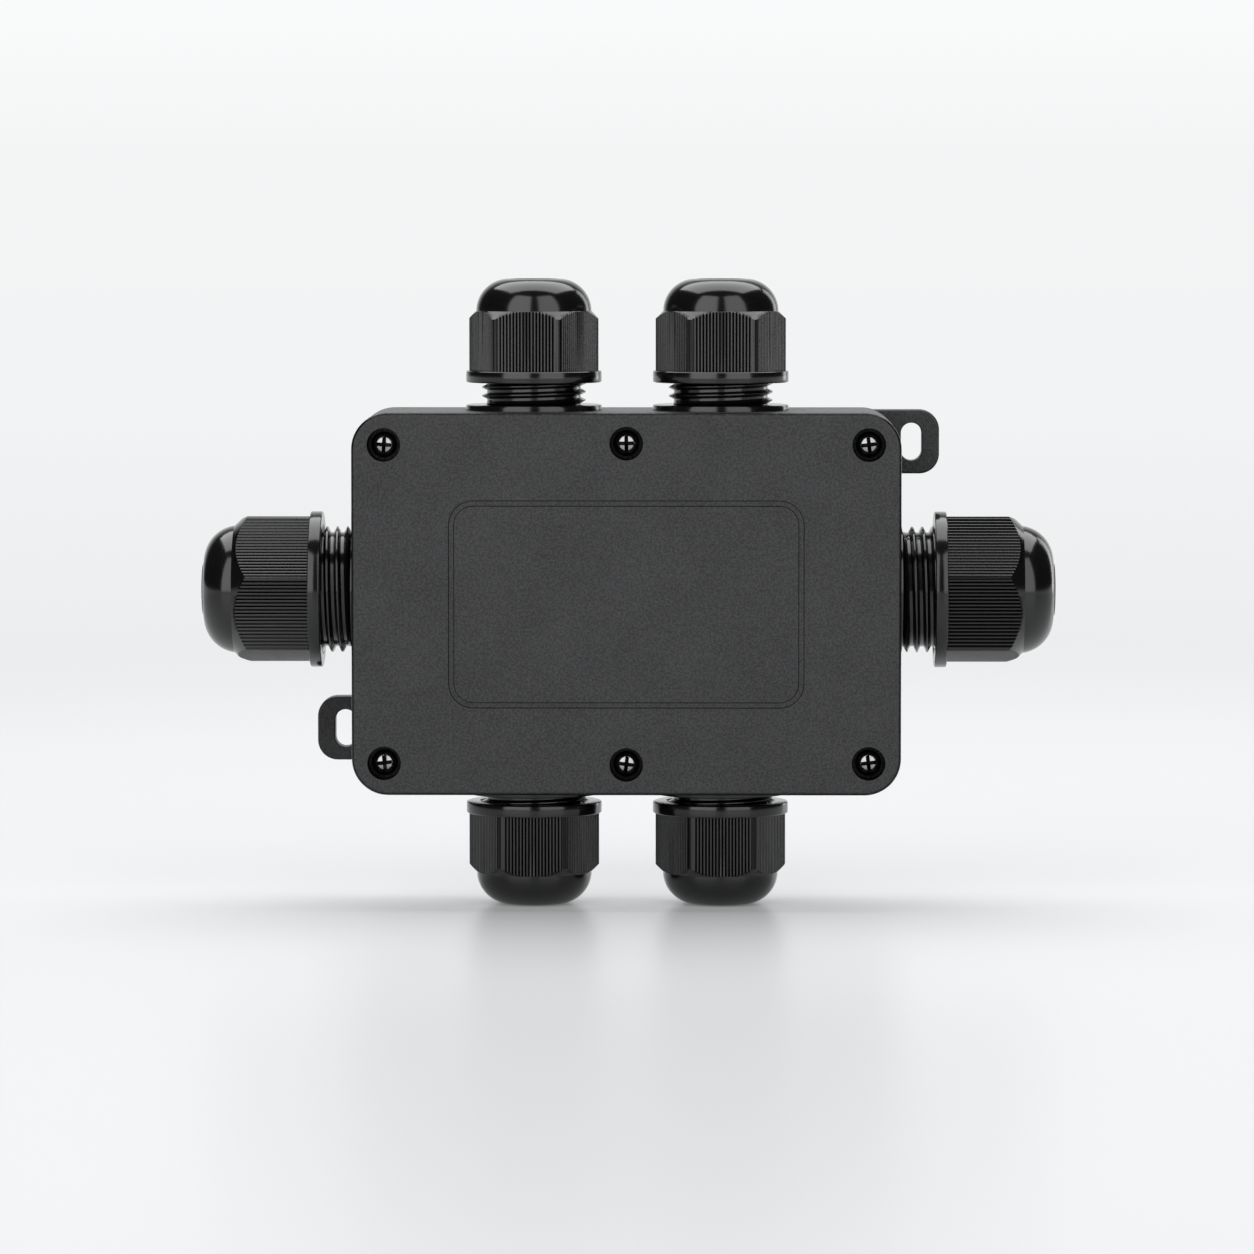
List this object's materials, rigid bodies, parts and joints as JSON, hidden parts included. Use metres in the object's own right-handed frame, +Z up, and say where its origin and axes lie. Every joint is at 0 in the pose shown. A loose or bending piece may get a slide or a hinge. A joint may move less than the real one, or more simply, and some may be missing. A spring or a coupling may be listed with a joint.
{
  "type": "waterproof junction box",
  "caption": "Flat rectangular junction box with a screwed lid, mounting ears, a terminal strip and cable glands on all four sides.",
  "frame": {"origin": "centre of the base's back face, in the wall plane, at the middle of the box's height", "axes": "+X to the right seen from the front, +Z up, +Y into the wall; the lid faces -Y"},
  "size_m": [0.1881, 0.038, 0.1382],
  "materials": {
    "box_plastic": "fine moulded grain",
    "gland_nylon": "polished mould",
    "seal_rubber": "satin",
    "screw_steel": "black zinc",
    "brass": "turned",
    "terminal_plastic": "natural",
    "clamp_steel": "zinc plated"
  },
  "bodies": {
    "base": {"base": "box_plastic", "screw_inserts": "brass", "terminal_block": "terminal_plastic", "terminal_sleeves": "brass", "terminal_screws": "clamp_steel", "terminal_fixing_screws": "clamp_steel", "top_left_gland_body": "gland_nylon", "top_left_ring": "seal_rubber", "top_left_locknut": "gland_nylon", "top_right_gland_body": "gland_nylon", "top_right_ring": "seal_rubber", "top_right_locknut": "gland_nylon", "bottom_left_gland_body": "gland_nylon", "bottom_left_ring": "seal_rubber", "bottom_left_locknut": "gland_nylon", "bottom_right_gland_body": "gland_nylon", "bottom_right_ring": "seal_rubber", "bottom_right_locknut": "gland_nylon", "left_gland_body": "gland_nylon", "left_ring": "seal_rubber", "left_locknut": "gland_nylon", "right_gland_body": "gland_nylon", "right_ring": "seal_rubber", "right_locknut": "gland_nylon"},
    "lid": {"lid": "box_plastic", "lid_gasket": "seal_rubber", "lid_screw_1": "screw_steel", "lid_screw_2": "screw_steel", "lid_screw_3": "screw_steel", "lid_screw_4": "screw_steel", "lid_screw_5": "screw_steel", "lid_screw_6": "screw_steel"},
    "top_left_insert": {"top_left_claw": "gland_nylon", "top_left_cable_seal": "seal_rubber"},
    "top_left_nut": {"top_left_nut": "gland_nylon"},
    "top_right_insert": {"top_right_claw": "gland_nylon", "top_right_cable_seal": "seal_rubber"},
    "top_right_nut": {"top_right_nut": "gland_nylon"},
    "bottom_left_insert": {"bottom_left_claw": "gland_nylon", "bottom_left_cable_seal": "seal_rubber"},
    "bottom_left_nut": {"bottom_left_nut": "gland_nylon"},
    "bottom_right_insert": {"bottom_right_claw": "gland_nylon", "bottom_right_cable_seal": "seal_rubber"},
    "bottom_right_nut": {"bottom_right_nut": "gland_nylon"},
    "left_insert": {"left_claw": "gland_nylon", "left_cable_seal": "seal_rubber"},
    "left_nut": {"left_nut": "gland_nylon"},
    "right_insert": {"right_claw": "gland_nylon", "right_cable_seal": "seal_rubber"},
    "right_nut": {"right_nut": "gland_nylon"}
  },
  "joints": [
    {"name": "lid_lift", "type": "slide", "parent": "base", "child": "lid", "axis": [0, -1, 0], "range_m": [0, 0.06]},
    {"name": "top_left_travel", "type": "slide", "parent": "base", "child": "top_left_insert", "axis": [0, 0, 1], "range_m": [-0.0046, 0.0081]},
    {"name": "top_left_turn", "type": "hinge", "parent": "top_left_insert", "child": "top_left_nut", "pos_m": [-0.0206, -0.0175, 0.0479], "axis": [0, 0, 1], "range_deg": [-871, 1534]},
    {"name": "top_right_travel", "type": "slide", "parent": "base", "child": "top_right_insert", "axis": [0, 0, 1], "range_m": [-0.0046, 0.0081]},
    {"name": "top_right_turn", "type": "hinge", "parent": "top_right_insert", "child": "top_right_nut", "pos_m": [0.0206, -0.0175, 0.0479], "axis": [0, 0, 1], "range_deg": [-871, 1534]},
    {"name": "bottom_left_travel", "type": "slide", "parent": "base", "child": "bottom_left_insert", "axis": [0, 0, -1], "range_m": [-0.0014, 0.0113]},
    {"name": "bottom_left_turn", "type": "hinge", "parent": "bottom_left_insert", "child": "bottom_left_nut", "pos_m": [-0.0206, -0.0175, -0.0447], "axis": [0, 0, -1], "range_deg": [-265, 2141]},
    {"name": "bottom_right_travel", "type": "slide", "parent": "base", "child": "bottom_right_insert", "axis": [0, 0, -1], "range_m": [-0.0014, 0.0113]},
    {"name": "bottom_right_turn", "type": "hinge", "parent": "bottom_right_insert", "child": "bottom_right_nut", "pos_m": [0.0206, -0.0175, -0.0447], "axis": [0, 0, -1], "range_deg": [-265, 2141]},
    {"name": "left_travel", "type": "slide", "parent": "base", "child": "left_insert", "axis": [-1, 0, 0], "range_m": [-0.0063, 0.0093]},
    {"name": "left_turn", "type": "hinge", "parent": "left_insert", "child": "left_nut", "pos_m": [-0.0672, -0.0175, 0.00215], "axis": [-1, 0, 0], "range_deg": [-1007, 1488]},
    {"name": "right_travel", "type": "slide", "parent": "base", "child": "right_insert", "axis": [1, 0, 0], "range_m": [-0.0068, 0.0088]},
    {"name": "right_turn", "type": "hinge", "parent": "right_insert", "child": "right_nut", "pos_m": [0.0677, -0.0175, 0.00215], "axis": [1, 0, 0], "range_deg": [-1088, 1408]}
  ],
  "couplings": [
    {"joint": "top_left_travel", "follows": "top_left_turn", "m_per_rad": 0.00030239},
    {"joint": "top_right_travel", "follows": "top_right_turn", "m_per_rad": 0.00030239},
    {"joint": "bottom_left_travel", "follows": "bottom_left_turn", "m_per_rad": 0.00030239},
    {"joint": "bottom_right_travel", "follows": "bottom_right_turn", "m_per_rad": 0.00030239},
    {"joint": "left_travel", "follows": "left_turn", "m_per_rad": 0.0003581},
    {"joint": "right_travel", "follows": "right_turn", "m_per_rad": 0.0003581}
  ]
}
